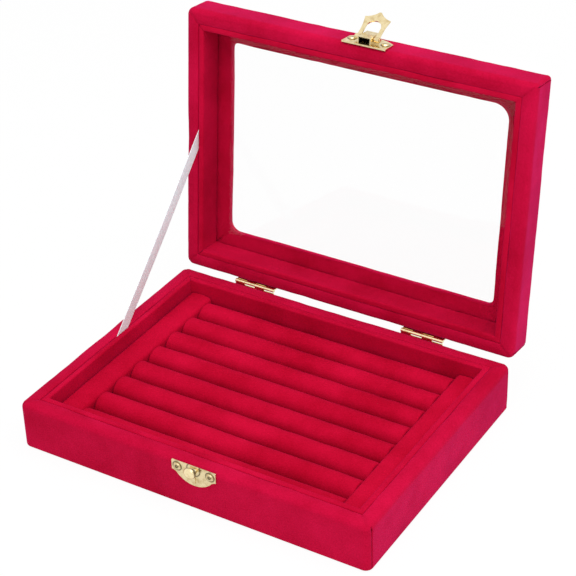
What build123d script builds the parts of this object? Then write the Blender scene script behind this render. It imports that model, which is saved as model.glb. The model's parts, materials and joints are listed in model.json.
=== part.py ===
from build123d import *
import os
from math import atan2, degrees

os.makedirs("parts", exist_ok=True)

# A velvet ring display box: a shallow tray of padded rolls under a hinged lid with a window.
# X is the width, Y the depth with the hinges at +Y, Z is up, all in millimetres.
# The origin is the centre of the underside. The lid stands open at rest.

# The box
box_width = 200.0
box_depth = 149.0
base_height = 27.2
lid_height = 18.2
rim_gap = 0.6
open_angle = 96.0

# Walls: a board wrapped in velvet over its outside, rim and inside
cover_thickness = 1.2
wall_board = 4.9
corner_round = 4.0
edge_round = 3.2
inner_edge_round = 1.0
foot_round = 1.2
turned_edge = 0.6
turn_under = 14.0
sheet_thickness = 0.6
sheet_inset = 2.0
floor_thickness = 3.0

# Liners: velvet-covered cards that stand against the walls
liner_thickness = 3.1
liner_round = 1.2
seam_gap = 0.6
ribbon_slot = 0.9

# Padded rolls and the pads beside them
roll_count = 8
roll_gap = 0.3
roll_flat = 0.3
roll_end_draw = 1.4
roll_end_length = 1.2
roll_end_bevel = 0.5
pad_gap = 0.2
bar_width = 13.4
bar_height = 16.0
bar_crown = 0.5
bar_edge_round = 2.4
bar_end_round = 1.0

# Lid window
lip_board = 1.6
window_inset = 19.7
window_round = 4.0
reveal_thickness = 1.0
reveal_round = 0.8
pane_thickness = 1.5
pane_gap = 0.4

# Hinges
hinge_left_x = -54.25
hinge_right_x = 48.6
hinge_length = 24.5
hinge_offset = 0.6
barrel_radius = 0.95
pin_radius = 0.5
pin_clearance = 0.05
knuckle_count = 4
knuckle_gap = 0.15
leaf_thickness = 0.5
leaf_start = 1.5
leaf_end = 9.0
leaf_corner = 1.5
leaf_screw_distance = 5.6
leaf_screw_spacing = 15.0

# Round-head screws
screw_head_radius = 2.0
screw_head_height = 0.8
screw_head_chamfer = 0.45
screw_radius = 0.75
screw_length = 6.0
screw_slot_width = 0.35
screw_slot_depth = 0.3
screw_slot_turn = 30.0
screw_clearance = 0.05

# Clasp
clasp_x = 5.5
plate_thickness = 0.8
catch_half_width = 12.5
catch_top_gap = 0.2
catch_end_height = 5.3
catch_height = 11.2
catch_shoulder_x = 10.0
catch_shoulder_height = 6.4
catch_screw_x = 9.3
catch_screw_drop = 2.7
knob_drop = 1.8
knob_half_width = 3.2
knob_half_height = 2.8
knob_neck_half_width = 2.5
knob_neck_half_height = 1.1
knob_head = 1.4
knob_round = 1.1
loop_play = 0.15
ridge_length = 4.4
ridge_width = 1.8
ridge_height = 0.5
ridge_round = 0.4
hasp_half_width = 12.4
hasp_edge_gap = 0.3
hasp_end_height = 8.7
hasp_height = 13.0
hasp_screw_x = 9.4
hasp_screw_height = 6.0
bridge_width = 7.4
bridge_length = 9.6
bridge_start = 0.9
bridge_height = 4.8
bridge_wall = 0.7
bridge_round = 0.6
pivot_height = 4.8
pivot_offset = 3.0
rod_radius = 0.6
rod_clearance = 0.05
rod_head_radius = 1.0
rod_head_length = 0.5
rod_head_gap = 0.1
loop_thickness = 0.8
loop_leg_inner = 4.2
loop_leg_outer = 6.5
loop_waist = 6.2
loop_arch = 10.6
loop_point_x = 7.2
loop_point_reach = 12.2
loop_tip_reach = 16.0
loop_tip_width = 1.2
loop_dip_x = 3.8
loop_dip_reach = 13.3
loop_eye_radius = 1.4
loop_rest_angle = 144.0

# Ribbon stay
ribbon_width = 6.6
ribbon_thickness = 0.35
ribbon_tail = 8.0
ribbon_base_y = 4.5
ribbon_lid_y = -1.0

# Levels and insets that follow from the sizes above
wall_width = cover_thickness + wall_board + cover_thickness
board_inset = cover_thickness + wall_board
board_bottom = sheet_thickness + turned_edge
base_board_top = base_height - cover_thickness
floor_top = board_bottom + floor_thickness
liner_inset = wall_width + seam_gap
interior_inset = liner_inset + liner_thickness
lid_bottom = base_height + rim_gap
lid_top = lid_bottom + lid_height
lid_board_bottom = lid_bottom + cover_thickness
lid_board_top = lid_top - cover_thickness
lip_bottom = lid_board_top - lip_board
pane_bottom = lip_bottom - pane_thickness
interior_width = box_width - 2 * interior_inset
interior_depth = box_depth - 2 * interior_inset
front_y = -box_depth / 2
back_y = box_depth / 2
hinge_y = back_y + hinge_offset
hinge_z = base_height + rim_gap / 2
hinge_axis = Axis((0, hinge_y, hinge_z), (1, 0, 0))
front_face = Plane(origin=(0, front_y, 0), x_dir=(1, 0, 0), z_dir=(0, -1, 0))
back_face = Plane(origin=(0, back_y, 0), x_dir=(-1, 0, 0), z_dir=(0, 1, 0))
side_names = ("front", "back", "left", "right")


def write_part(builder, name):
    """Labels a finished piece and writes its file."""
    builder.part.label = name
    export_step(builder.part, f"parts/{name}.step")


def write_lid_part(builder, name):
    """Swings a piece of the lid, drawn closed, to where it stands open and writes it."""
    builder.part = builder.part.rotate(hinge_axis, -open_angle)
    write_part(builder, name)


def inset_rectangle(inset, left_inset):
    """Left, right, front and back of a rectangle inside the box's outline."""
    return left_inset - box_width / 2, box_width / 2 - inset, front_y + inset, back_y - inset


def mitred_side(side, outer, inner):
    """Corners of one side of a rectangular frame that is cut along its corner diagonals."""
    left, right, front, back = outer
    in_left, in_right, in_front, in_back = inner
    outlines = {
        "front": ((left, front), (right, front), (in_right, in_front), (in_left, in_front)),
        "back": ((right, back), (left, back), (in_left, in_back), (in_right, in_back)),
        "left": ((left, back), (left, front), (in_left, in_front), (in_left, in_back)),
        "right": ((right, front), (right, back), (in_right, in_back), (in_right, in_front)),
    }
    return outlines[side]


def along_side(side):
    """The direction in which a side runs."""
    return Axis.X if side in ("front", "back") else Axis.Y


def screw_holes(face, points, depth):
    """Cutters for screw holes, into a face of the box."""
    with BuildPart() as holes:
        with BuildSketch(face.offset(depth)):
            with Locations(*points):
                Circle(screw_radius + screw_clearance)
        extrude(amount=-2 * depth)
    return holes.part


def round_head_screws(face, points, plate):
    """Slotted screws with round heads that sit on a plate."""
    with BuildPart() as screws:
        with BuildSketch(face.offset(plate)):
            with Locations(*points):
                Circle(screw_head_radius)
        extrude(amount=screw_head_height)
        chamfer(screws.edges().group_by(Axis(face.origin, face.z_dir))[-1], screw_head_chamfer)
        with BuildSketch(face.offset(plate + screw_head_height)):
            with Locations(*points):
                Rectangle(2 * screw_head_radius, screw_slot_width, rotation=screw_slot_turn)
        extrude(amount=-screw_slot_depth, mode=Mode.SUBTRACT)
        with BuildSketch(face.offset(plate)):
            with Locations(*points):
                Circle(screw_radius)
        extrude(amount=-screw_length)
    return screws


# Screw places, on the front face and, seen from behind, on the back face
catch_screw_z = base_height - catch_top_gap - catch_screw_drop
catch_screw_points = [(clasp_x - catch_screw_x, catch_screw_z), (clasp_x + catch_screw_x, catch_screw_z)]
hasp_screw_z = lid_bottom + hasp_screw_height
hasp_screw_points = [(clasp_x - hasp_screw_x, hasp_screw_z), (clasp_x + hasp_screw_x, hasp_screw_z)]
leaf_screw_x = [
    -hinge_x + shift
    for hinge_x in (hinge_left_x, hinge_right_x)
    for shift in (-leaf_screw_spacing / 2, leaf_screw_spacing / 2)
]
base_leaf_points = [(x, hinge_z - leaf_screw_distance) for x in leaf_screw_x]
lid_leaf_points = [(x, hinge_z + leaf_screw_distance) for x in leaf_screw_x]
hole_depth = screw_length + screw_clearance
base_holes = (
    screw_holes(front_face, catch_screw_points, hole_depth),
    screw_holes(back_face, base_leaf_points, hole_depth),
)
lid_holes = (
    screw_holes(front_face, hasp_screw_points, hole_depth),
    screw_holes(back_face, lid_leaf_points, hole_depth),
)

# Base

# Sheet glued under the base
with BuildPart() as underside_sheet:
    with BuildSketch():
        RectangleRounded(box_width - 2 * sheet_inset, box_depth - 2 * sheet_inset, corner_round - sheet_inset)
    extrude(amount=sheet_thickness)
write_part(underside_sheet, "underside_sheet")

# Ring of wall boards, later cut into four
board_round = corner_round - cover_thickness
board_edge_round = edge_round - cover_thickness
with BuildPart() as base_board_ring:
    with BuildSketch(Plane.XY.offset(board_bottom)):
        RectangleRounded(box_width - 2 * cover_thickness, box_depth - 2 * cover_thickness, board_round)
    extrude(amount=base_board_top - board_bottom)
    fillet(base_board_ring.edges().group_by(Axis.Z)[-1], board_edge_round)
    with BuildSketch(Plane.XY.offset(board_bottom)):
        Rectangle(box_width - 2 * board_inset, box_depth - 2 * board_inset)
    extrude(amount=base_board_top - board_bottom, mode=Mode.SUBTRACT)

for side in side_names:
    with BuildPart() as base_board:
        add(base_board_ring.part)
        with BuildSketch(Plane.XY.offset(board_bottom)):
            outer = inset_rectangle(cover_thickness, cover_thickness)
            inner = inset_rectangle(board_inset, board_inset)
            Polygon(*mitred_side(side, outer, inner), align=None)
        extrude(amount=base_board_top - board_bottom, mode=Mode.INTERSECT)
        for holes in base_holes:
            add(holes, mode=Mode.SUBTRACT)
    write_part(base_board, f"base_board_{side}")

with BuildPart() as base_floor_board:
    with BuildSketch(Plane.XY.offset(board_bottom)):
        Rectangle(box_width - 2 * board_inset, box_depth - 2 * board_inset)
    extrude(amount=floor_thickness)
write_part(base_floor_board, "base_floor_board")

# Velvet round the walls, turned under the boards at the foot
with BuildPart() as base_cover:
    with BuildSketch(Plane.XY.offset(sheet_thickness)):
        RectangleRounded(box_width, box_depth, corner_round)
    extrude(amount=base_height - sheet_thickness)
    fillet(base_cover.edges().group_by(Axis.Z)[-1], edge_round)
    fillet(base_cover.edges().group_by(Axis.Z)[0], foot_round)
    with BuildSketch(Plane.XY.offset(floor_top)):
        Rectangle(box_width - 2 * wall_width, box_depth - 2 * wall_width)
    extrude(amount=base_height - floor_top, mode=Mode.SUBTRACT)
    fillet(base_cover.faces().sort_by(Axis.Z)[-1].inner_wires()[0].edges(), inner_edge_round)
    with BuildSketch(Plane.XY.offset(board_bottom)):
        Rectangle(box_width - 2 * board_inset, box_depth - 2 * board_inset)
    extrude(amount=floor_thickness, mode=Mode.SUBTRACT)
    with BuildSketch(Plane.XY.offset(sheet_thickness)):
        Rectangle(box_width - 2 * turn_under, box_depth - 2 * turn_under)
    extrude(amount=turned_edge, mode=Mode.SUBTRACT)
    add(base_board_ring.part, mode=Mode.SUBTRACT)
    for holes in base_holes:
        add(holes, mode=Mode.SUBTRACT)
write_part(base_cover, "base_cover")

# Liners, with a wider slot on the left for the ribbon
liner_outer = inset_rectangle(liner_inset, wall_width + ribbon_slot)
liner_inner = inset_rectangle(interior_inset, interior_inset)
for side in side_names:
    with BuildPart() as base_liner:
        with BuildSketch(Plane.XY.offset(floor_top)):
            Polygon(*mitred_side(side, liner_outer, liner_inner), align=None)
        extrude(amount=base_height - floor_top)
        fillet(base_liner.edges().group_by(Axis.Z)[-1].filter_by(along_side(side)), liner_round)
    write_part(base_liner, f"base_liner_{side}")

# Rolls: straight, with their ends drawn in a little where they meet the pads
roll_pitch = interior_depth / roll_count
roll_radius = (roll_pitch - roll_gap) / 2
roll_z = floor_top - roll_flat + roll_radius
roll_half_length = interior_width / 2 - bar_width - 2 * pad_gap
roll_shoulder = roll_half_length - roll_end_length
roll_tip_radius = roll_radius - roll_end_draw
for number in range(1, roll_count + 1):
    roll_y = front_y + interior_inset + (number - 0.5) * roll_pitch
    roll_plane = Plane(origin=(0, roll_y, roll_z), x_dir=(1, 0, 0), z_dir=(0, -1, 0))
    with BuildPart() as ring_roll:
        with BuildSketch(roll_plane):
            with BuildLine():
                Polyline(
                    (0, 0),
                    (0, roll_radius),
                    (roll_shoulder, roll_radius),
                    (roll_half_length - roll_end_bevel, roll_radius - roll_end_bevel),
                    (roll_half_length, roll_tip_radius),
                    (roll_half_length, 0),
                    (0, 0),
                )
            make_face()
            mirror(about=Plane.YZ)
        revolve(axis=Axis((0, roll_y, roll_z), (1, 0, 0)))
        split(bisect_by=Plane.XY.offset(floor_top), keep=Keep.TOP)
    write_part(ring_roll, f"ring_roll_{number}")

# Pads at both ends of the rolls: wrapped strips with a low crown and rounded edges
bar_length = interior_depth - 2 * pad_gap
bar_x = interior_width / 2 - pad_gap - bar_width / 2
bar_shoulder_z = floor_top + bar_height - bar_crown
for name, centre_x in (("side_bar_left", -bar_x), ("side_bar_right", bar_x)):
    left_x, right_x = centre_x - bar_width / 2, centre_x + bar_width / 2
    with BuildPart() as side_bar:
        with BuildSketch(Plane.XZ):
            with BuildLine():
                left_shoulder, right_shoulder = (left_x, bar_shoulder_z), (right_x, bar_shoulder_z)
                Polyline(left_shoulder, (left_x, floor_top), (right_x, floor_top), right_shoulder)
                ThreePointArc(right_shoulder, (centre_x, floor_top + bar_height), left_shoulder)
            make_face()
        extrude(amount=bar_length / 2, both=True)
        fillet(side_bar.edges().filter_by(Axis.Y).group_by(Axis.Z)[-1], bar_edge_round)
        top_ends = side_bar.edges().filter_by_position(Axis.Z, floor_top + bar_end_round, base_height)
        chamfer(top_ends.group_by(Axis.Y)[0] + top_ends.group_by(Axis.Y)[-1], bar_end_round)
    write_part(side_bar, name)

# Lid, drawn closed

with BuildPart() as lid_board_ring:
    with BuildSketch(Plane.XY.offset(lid_board_bottom)):
        RectangleRounded(box_width - 2 * cover_thickness, box_depth - 2 * cover_thickness, board_round)
    extrude(amount=lid_board_top - lid_board_bottom)
    fillet(lid_board_ring.edges().group_by(Axis.Z)[-1], board_edge_round)
    fillet(lid_board_ring.edges().group_by(Axis.Z)[0], board_edge_round)
    with BuildSketch(Plane.XY.offset(lid_board_bottom)):
        Rectangle(box_width - 2 * board_inset, box_depth - 2 * board_inset)
    extrude(amount=lid_board_top - lid_board_bottom, mode=Mode.SUBTRACT)

for side in side_names:
    with BuildPart() as lid_board:
        add(lid_board_ring.part)
        with BuildSketch(Plane.XY.offset(lid_board_bottom)):
            outer = inset_rectangle(cover_thickness, cover_thickness)
            inner = inset_rectangle(board_inset, board_inset)
            Polygon(*mitred_side(side, outer, inner), align=None)
        extrude(amount=lid_board_top - lid_board_bottom, mode=Mode.INTERSECT)
        for holes in lid_holes:
            add(holes, mode=Mode.SUBTRACT)
    write_lid_part(lid_board, f"lid_board_{side}")

# Thin board behind the lip round the window
window_width = box_width - 2 * window_inset
window_depth = box_depth - 2 * window_inset
with BuildPart() as lid_top_frame:
    with BuildSketch(Plane.XY.offset(lip_bottom)):
        Rectangle(box_width - 2 * board_inset, box_depth - 2 * board_inset)
        RectangleRounded(
            window_width + 2 * reveal_thickness,
            window_depth + 2 * reveal_thickness,
            window_round + reveal_thickness,
            mode=Mode.SUBTRACT,
        )
    extrude(amount=lip_board)

# Velvet over the lid, turned in round the window
with BuildPart() as lid_cover:
    with BuildSketch(Plane.XY.offset(lid_bottom)):
        RectangleRounded(box_width, box_depth, corner_round)
    extrude(amount=lid_height)
    fillet(lid_cover.edges().group_by(Axis.Z)[-1], edge_round)
    fillet(lid_cover.edges().group_by(Axis.Z)[0], edge_round)
    with BuildSketch(Plane.XY.offset(lid_bottom)):
        RectangleRounded(window_width, window_depth, window_round)
    extrude(amount=lid_height, mode=Mode.SUBTRACT)
    fillet(lid_cover.faces().sort_by(Axis.Z)[-1].inner_wires()[0].edges(), reveal_round)
    with BuildSketch(Plane.XY.offset(lid_bottom)):
        Rectangle(box_width - 2 * wall_width, box_depth - 2 * wall_width)
    extrude(amount=lip_bottom - lid_bottom, mode=Mode.SUBTRACT)
    fillet(lid_cover.faces().sort_by(Axis.Z)[0].inner_wires()[0].edges(), inner_edge_round)
    add(lid_board_ring.part, mode=Mode.SUBTRACT)
    add(lid_top_frame.part, mode=Mode.SUBTRACT)
    for holes in lid_holes:
        add(holes, mode=Mode.SUBTRACT)
write_lid_part(lid_cover, "lid_cover")
write_lid_part(lid_top_frame, "lid_top_frame")

with BuildPart() as glass_pane:
    with BuildSketch(Plane.XY.offset(pane_bottom)):
        pane_inset = wall_width + pane_gap
        Rectangle(box_width - 2 * pane_inset, box_depth - 2 * pane_inset)
    extrude(amount=pane_thickness)
write_lid_part(glass_pane, "glass_pane")

for side in side_names:
    with BuildPart() as lid_liner:
        with BuildSketch(Plane.XY.offset(lid_bottom)):
            Polygon(*mitred_side(side, liner_outer, liner_inner), align=None)
        extrude(amount=pane_bottom - lid_bottom)
        fillet(lid_liner.edges().group_by(Axis.Z)[0].filter_by(along_side(side)), liner_round)
    write_lid_part(lid_liner, f"lid_liner_{side}")

# Hinges

# Knuckles alternate along the pin, the first one on the base
knuckle_pitch = (hinge_length + knuckle_gap) / knuckle_count
knuckle_length = knuckle_pitch - knuckle_gap


def hinge_leaf(hinge_x, first_knuckle, direction, holes):
    """A leaf on the back face with its share of the knuckles; direction is +1 for the lid's."""
    start_x = hinge_x - hinge_length / 2
    leaf_middle = direction * (leaf_start + leaf_end) / 2
    with BuildPart() as leaf:
        with BuildSketch(back_face):
            with Locations((-hinge_x, hinge_z + leaf_middle)):
                Rectangle(hinge_length, leaf_end - leaf_start)
        extrude(amount=leaf_thickness)
        far_edges = leaf.edges().filter_by(Axis.Y).group_by(Axis.Z)[-1 if direction > 0 else 0]
        fillet(far_edges, leaf_corner)
        for index in range(first_knuckle, knuckle_count, 2):
            with BuildSketch(Plane.YZ.offset(start_x + index * knuckle_pitch)):
                with Locations((hinge_y, hinge_z)):
                    Circle(barrel_radius)
                with Locations((back_y + leaf_thickness / 2, hinge_z + direction * leaf_start / 2)):
                    Rectangle(leaf_thickness, leaf_start)
            extrude(amount=knuckle_length)
        with BuildSketch(Plane.YZ.offset(start_x)):
            with Locations((hinge_y, hinge_z)):
                Circle(pin_radius + pin_clearance)
        extrude(amount=hinge_length, mode=Mode.SUBTRACT)
        add(holes, mode=Mode.SUBTRACT)
    return leaf


for name, hinge_x in (("hinge_left", hinge_left_x), ("hinge_right", hinge_right_x)):
    write_part(hinge_leaf(hinge_x, 0, -1, base_holes[1]), f"{name}_base_leaf")
    write_lid_part(hinge_leaf(hinge_x, 1, 1, lid_holes[1]), f"{name}_lid_leaf")
    with BuildPart() as hinge_pin:
        with BuildSketch(Plane.YZ.offset(hinge_x)):
            with Locations((hinge_y, hinge_z)):
                Circle(pin_radius)
        extrude(amount=hinge_length / 2, both=True)
    write_part(hinge_pin, f"{name}_pin")

write_part(round_head_screws(back_face, base_leaf_points, leaf_thickness), "base_hinge_screws")
write_lid_part(round_head_screws(back_face, lid_leaf_points, leaf_thickness), "lid_hinge_screws")

# Clasp

# Catch plate under the rim of the base: two ears and a rounded belly
catch_top = base_height - catch_top_gap
catch_plane = Plane(origin=(clasp_x, front_y, catch_top), x_dir=(1, 0, 0), z_dir=(0, -1, 0))
with BuildPart() as catch_plate:
    with BuildSketch(catch_plane):
        with BuildLine():
            Polyline((0, 0), (catch_half_width, 0), (catch_half_width, -catch_end_height))
            ThreePointArc(
                (catch_half_width, -catch_end_height),
                ((catch_half_width + catch_shoulder_x) / 2, -catch_end_height - ridge_round),
                (catch_shoulder_x, -catch_shoulder_height),
            )
            ThreePointArc(
                (catch_shoulder_x, -catch_shoulder_height),
                (0, -catch_height),
                (-catch_shoulder_x, -catch_shoulder_height),
            )
            ThreePointArc(
                (-catch_shoulder_x, -catch_shoulder_height),
                (-(catch_half_width + catch_shoulder_x) / 2, -catch_end_height - ridge_round),
                (-catch_half_width, -catch_end_height),
            )
            Polyline((-catch_half_width, -catch_end_height), (-catch_half_width, 0), (0, 0))
        make_face()
    extrude(amount=plate_thickness)
    knob_centre = knob_drop - catch_top_gap
    ridge_centre = (knob_centre + knob_half_height + catch_height) / 2
    with BuildSketch(catch_plane.offset(plate_thickness)):
        with Locations((0, -ridge_centre)):
            SlotOverall(ridge_length, ridge_width, rotation=90)
    extrude(amount=ridge_height)
    fillet(catch_plate.edges().group_by(Axis.Y)[0], ridge_round)
    add(base_holes[0], mode=Mode.SUBTRACT)
write_part(catch_plate, "catch_plate")

# Knob that the loop drops over
knob_neck = pivot_offset + loop_thickness / 2 + loop_play
with BuildPart() as catch_knob:
    with BuildSketch(catch_plane.offset(plate_thickness)):
        with Locations((0, -knob_centre)):
            SlotOverall(2 * knob_neck_half_width, 2 * knob_neck_half_height)
    extrude(amount=knob_neck - plate_thickness)
    with BuildSketch(catch_plane.offset(knob_neck)):
        with Locations((0, -knob_centre)):
            SlotOverall(2 * knob_half_width, 2 * knob_half_height)
    extrude(amount=knob_head)
    fillet(catch_knob.edges().group_by(Axis.Y)[0], knob_round)
write_part(catch_knob, "catch_knob")

write_part(round_head_screws(front_face, catch_screw_points, plate_thickness), "catch_screws")

# Hasp plate on the lid, straight along the rim and arched above
hasp_plane = Plane(origin=(clasp_x, front_y, lid_bottom), x_dir=(1, 0, 0), z_dir=(0, -1, 0))
with BuildPart() as hasp_plate:
    with BuildSketch(hasp_plane):
        with BuildLine():
            Polyline(
                (-hasp_half_width, hasp_end_height),
                (-hasp_half_width, hasp_edge_gap),
                (hasp_half_width, hasp_edge_gap),
                (hasp_half_width, hasp_end_height),
            )
            ThreePointArc(
                (hasp_half_width, hasp_end_height),
                (0, hasp_height),
                (-hasp_half_width, hasp_end_height),
            )
        make_face()
    extrude(amount=plate_thickness)
    add(lid_holes[0], mode=Mode.SUBTRACT)
write_lid_part(hasp_plate, "hasp_plate")

# Bridge over the rod: a raised box, open towards the rim
rod_y = front_y - pivot_offset
rod_z = lid_bottom + pivot_height
bridge_depth = bridge_height - plate_thickness
with BuildPart() as hasp_bridge:
    with BuildSketch(hasp_plane.offset(plate_thickness)):
        with Locations((0, bridge_start + bridge_length / 2)):
            Rectangle(bridge_width, bridge_length)
    extrude(amount=bridge_depth)
    outer_rim = hasp_bridge.faces().sort_by(Axis.Y)[0].edges()
    fillet(outer_rim.filter_by(Axis.Z) + outer_rim.filter_by(Axis.X).sort_by(Axis.Z)[-1:], bridge_round)
    with BuildSketch(hasp_plane.offset(plate_thickness)):
        with Locations((0, bridge_start + (bridge_length - bridge_wall) / 2)):
            Rectangle(bridge_width - 2 * bridge_wall, bridge_length - bridge_wall)
    extrude(amount=bridge_depth - bridge_wall, mode=Mode.SUBTRACT)
    with BuildSketch(Plane.YZ.offset(clasp_x)):
        with Locations((rod_y, rod_z)):
            Circle(rod_radius + rod_clearance)
    extrude(amount=bridge_width, both=True, mode=Mode.SUBTRACT)
write_lid_part(hasp_bridge, "hasp_bridge")

# Rod through the bridge, headed outside the loop's eyes
rod_half_length = loop_leg_outer + rod_head_gap
with BuildPart() as hasp_rod:
    with BuildSketch(Plane.YZ.offset(clasp_x)):
        with Locations((rod_y, rod_z)):
            Circle(rod_radius)
    extrude(amount=rod_half_length, both=True)
    for head_x in (clasp_x - rod_half_length - rod_head_length, clasp_x + rod_half_length):
        with BuildSketch(Plane.YZ.offset(head_x)):
            with Locations((rod_y, rod_z)):
                Circle(rod_head_radius)
        extrude(amount=rod_head_length)
write_lid_part(hasp_rod, "hasp_rod")

write_lid_part(round_head_screws(front_face, hasp_screw_points, plate_thickness), "hasp_screws")

# Loop: two legs on the rod, an arch and a three-pointed outline, drawn locked
loop_plane = Plane(origin=(clasp_x, rod_y, rod_z), x_dir=(1, 0, 0), z_dir=(0, -1, 0))
rod_axis = Axis((clasp_x, rod_y, rod_z), (1, 0, 0))
loop_tip = loop_tip_width / 2
with BuildPart() as hasp_loop:
    with BuildSketch(loop_plane):
        with BuildLine():
            for mirror_x in (1, -1):
                Line((0, 0), (mirror_x * loop_leg_outer, 0))
                ThreePointArc(
                    (mirror_x * loop_leg_outer, 0),
                    (mirror_x * loop_waist, -loop_point_reach / 2),
                    (mirror_x * loop_point_x, -loop_point_reach),
                )
                ThreePointArc(
                    (mirror_x * loop_point_x, -loop_point_reach),
                    (mirror_x * loop_dip_x, -loop_dip_reach),
                    (mirror_x * loop_tip, -loop_tip_reach),
                )
                Line((mirror_x * loop_tip, -loop_tip_reach), (0, -loop_tip_reach))
        make_face()
        arch_centre = loop_arch - loop_leg_inner
        with Locations((0, -arch_centre / 2)):
            Rectangle(2 * loop_leg_inner, arch_centre, mode=Mode.SUBTRACT)
        with Locations((0, -arch_centre)):
            Circle(loop_leg_inner, mode=Mode.SUBTRACT)
    extrude(amount=loop_thickness / 2, both=True)
    for eye_x in (clasp_x - loop_leg_outer, clasp_x + loop_leg_inner):
        with BuildSketch(Plane.YZ.offset(eye_x)):
            with Locations((rod_y, rod_z)):
                Circle(loop_eye_radius)
        extrude(amount=loop_leg_outer - loop_leg_inner)
    with BuildSketch(Plane.YZ.offset(clasp_x)):
        with Locations((rod_y, rod_z)):
            Circle(rod_radius + rod_clearance)
    extrude(amount=loop_leg_outer, both=True, mode=Mode.SUBTRACT)
hasp_loop.part = hasp_loop.part.rotate(rod_axis, -loop_rest_angle)
write_lid_part(hasp_loop, "hasp_loop")

# Ribbon stay, taut between the left slots of the base and the lid

lid_anchor = Vector(0, ribbon_lid_y - hinge_y, lid_bottom - hinge_z).rotate(Axis.X, -open_angle)
lid_anchor_y = lid_anchor.Y + hinge_y
lid_anchor_z = lid_anchor.Z + hinge_z
ribbon_rise = lid_anchor_z - base_height
ribbon_run = lid_anchor_y - ribbon_base_y
ribbon_angle = degrees(atan2(ribbon_rise, ribbon_run))
ribbon_length = (ribbon_run**2 + ribbon_rise**2) ** 0.5 + 2 * ribbon_tail
ribbon_x = -box_width / 2 + wall_width + ribbon_slot / 2
with BuildPart() as stay_ribbon:
    with BuildSketch(Plane.YZ.offset(ribbon_x)):
        with Locations(((ribbon_base_y + lid_anchor_y) / 2, (base_height + lid_anchor_z) / 2)):
            Rectangle(ribbon_length, ribbon_width, rotation=ribbon_angle)
    extrude(amount=ribbon_thickness / 2, both=True)
write_part(stay_ribbon, "stay_ribbon")
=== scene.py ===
import json
import bpy
import numpy as np
from math import cos, pi, radians, sin
from mathutils import Matrix, Vector


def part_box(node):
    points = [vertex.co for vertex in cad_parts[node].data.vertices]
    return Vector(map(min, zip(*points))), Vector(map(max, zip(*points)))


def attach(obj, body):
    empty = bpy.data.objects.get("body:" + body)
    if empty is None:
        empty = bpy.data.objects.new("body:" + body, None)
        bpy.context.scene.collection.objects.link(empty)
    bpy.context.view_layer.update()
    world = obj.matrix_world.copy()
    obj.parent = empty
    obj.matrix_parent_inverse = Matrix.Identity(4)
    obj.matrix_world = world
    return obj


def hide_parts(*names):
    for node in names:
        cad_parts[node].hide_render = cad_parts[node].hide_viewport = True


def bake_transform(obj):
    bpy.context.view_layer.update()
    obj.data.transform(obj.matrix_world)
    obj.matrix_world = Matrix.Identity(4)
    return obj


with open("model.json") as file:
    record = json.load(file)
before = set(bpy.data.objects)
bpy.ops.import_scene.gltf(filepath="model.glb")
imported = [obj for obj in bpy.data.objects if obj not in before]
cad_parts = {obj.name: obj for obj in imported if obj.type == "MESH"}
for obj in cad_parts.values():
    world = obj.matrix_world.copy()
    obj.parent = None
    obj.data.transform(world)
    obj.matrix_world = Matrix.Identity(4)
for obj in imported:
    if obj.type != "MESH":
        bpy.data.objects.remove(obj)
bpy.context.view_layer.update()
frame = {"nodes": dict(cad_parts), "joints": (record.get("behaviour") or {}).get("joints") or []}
millimetre = 0.001
sides = ("front", "back", "left", "right")

joints = {joint["name"]: joint for joint in frame["joints"]}
hingePoint = np.array(joints["lid_hinge"]["pos_m"])
openAngle = radians(joints["lid_hinge"]["range_deg"][1])


# Turns points about a line along X through the hinge: y' = y cos a - z sin a, z' = y sin a + z cos a
def turnAboutHinge(points, angle):
    out = np.array(points, float)
    y, z = out[..., 1] - hingePoint[1], out[..., 2] - hingePoint[2]
    out[..., 1] = hingePoint[1] + y * cos(angle) - z * sin(angle)
    out[..., 2] = hingePoint[2] + y * sin(angle) + z * cos(angle)
    return out


# The lid's pieces are worked out with the lid shut and then swung open
def swingOpen(points):
    return turnAboutHinge(points, -openAngle)


def swingShut(points):
    return turnAboutHinge(points, openAngle)


# Vertices of a CAD node as an array
def nodePoints(node):
    vertices = frame["nodes"][node].data.vertices
    flat = np.empty(len(vertices) * 3)
    vertices.foreach_get("co", flat)
    return flat.reshape(-1, 3)


# Lowest and highest corners of a lid node with the lid shut
def closedBox(node):
    points = swingShut(nodePoints(node))
    return points.min(0), points.max(0)


# Middle of each screw, found between the gaps in x, moved along its axis to the middle of its plate
def headPlaces(node, plate):
    points, plateMiddle = nodePoints(node), nodePoints(plate).mean(0)
    points = points[np.argsort(points[:, 0])]
    groups = np.split(points, np.flatnonzero(np.diff(points[:, 0]) > 2 * millimetre) + 1)
    places = []
    for group in groups:
        low, high = group.min(0), group.max(0)
        axis = 1 + int(high[2] - low[2] > high[1] - low[1])  # the screw is longer than its head is wide
        place = (low + high) / 2
        place[axis] = plateMiddle[axis]
        places.append(place)
    return places


# A smooth field between about -1 and 1: a sum of sines along random directions
def softWave(points, wavelength, seed, count=7):
    rng = np.random.default_rng(seed)
    total = np.zeros(points.shape[:-1])
    for i in range(count):
        direction = rng.normal(size=3)
        direction /= np.linalg.norm(direction)
        length = wavelength * rng.uniform(0.6, 1.6)
        total += np.sin(points @ direction * (2 * pi / length) + rng.uniform(0, 2 * pi))
    return total / np.sqrt(count * 2.0)


# A bell between 0 and 1 round zero
def bell(distance, width):
    return np.exp(-((distance / width) ** 2))


# Unit normals of a grid: the cross product of the differences between neighbours along u and v
def gridNormals(grid, closeU, closeV):
    def difference(axis, closed):
        if closed:
            return np.roll(grid, -1, axis) - np.roll(grid, 1, axis)
        return np.gradient(grid, axis=axis)
    normal = np.cross(difference(0, closeU), difference(1, closeV))
    length = np.linalg.norm(normal, axis=-1, keepdims=True)
    return normal / np.maximum(length, 1e-12)


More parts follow.
